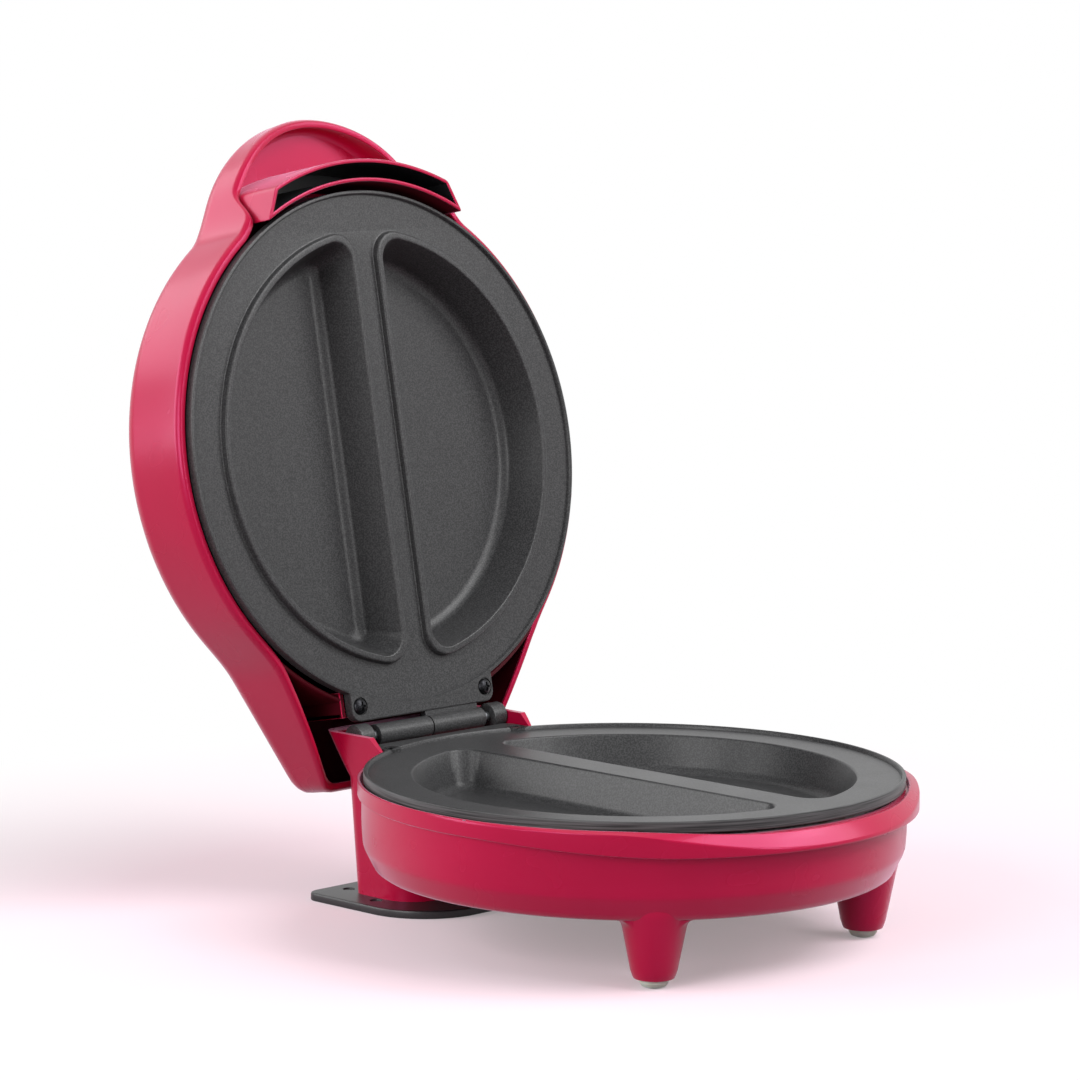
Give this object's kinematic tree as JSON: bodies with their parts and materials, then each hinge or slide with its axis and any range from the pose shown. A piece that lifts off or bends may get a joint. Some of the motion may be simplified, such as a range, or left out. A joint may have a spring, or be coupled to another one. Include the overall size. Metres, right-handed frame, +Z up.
{
  "type": "electric omelette maker",
  "caption": "Countertop omelette maker: a round base and a hinged lid, each with a heated plate holding two D-shaped pockets.",
  "frame": {"origin": "on the table, straight below the hinge axis, midway across the appliance, on the underside of the stand plate", "axes": "+X along the hinge axis, to the right seen from the front; +Y towards the rear; +Z up"},
  "size_m": [0.1978, 0.2816, 0.2812],
  "materials": {
    "pink_plastic": "glossy moulded plastic",
    "non_stick": "die-cast aluminium with a dark grey fine-grained non-stick coating",
    "black_plastic": "satin black moulded plastic",
    "pad_rubber": "pale grey-green soft rubber",
    "zinc_steel": "zinc-plated steel",
    "dark_screw": "black oxide screws",
    "heater_sheath": "annealed steel tube",
    "reflector_sheet": "bright sheet",
    "ceramic_white": "off-white insulating moulding",
    "red_lens": "translucent red lens",
    "green_lens": "translucent green lens",
    "lamp_glass": "small neon lamp glass"
  },
  "bodies": {
    "base": {"base_housing": "pink_plastic", "left_foot_pad": "pad_rubber", "right_foot_pad": "pad_rubber", "stand_plate": "black_plastic", "stand_plate_screws": "zinc_steel", "lower_plate": "non_stick", "lower_plate_screws": "dark_screw", "lower_heater": "heater_sheath", "lower_reflector": "reflector_sheet", "lower_reflector_screws": "zinc_steel", "thermostat": "zinc_steel", "thermostat_screws": "zinc_steel", "thermal_fuse": "zinc_steel", "fuse_clip": "zinc_steel", "terminal_block": "ceramic_white", "terminal_block_screws": "zinc_steel", "cord_bush": "black_plastic", "cord_clamp": "black_plastic", "cord_clamp_screws": "zinc_steel", "hinge_pin": "zinc_steel"},
    "lid": {"lid_housing": "pink_plastic", "upper_plate": "non_stick", "upper_plate_screws": "dark_screw", "upper_heater": "heater_sheath", "upper_reflector": "reflector_sheet", "upper_reflector_screws": "zinc_steel", "power_lens": "red_lens", "ready_lens": "green_lens", "power_lamp": "lamp_glass", "ready_lamp": "lamp_glass", "lamp_holder": "ceramic_white"}
  },
  "joints": [
    {"name": "lid_hinge", "type": "hinge", "parent": "base", "child": "lid", "pos_m": [0, 0, 0.06075], "axis": [1, 0, 0], "range_deg": [0, 100.9]}
  ]
}
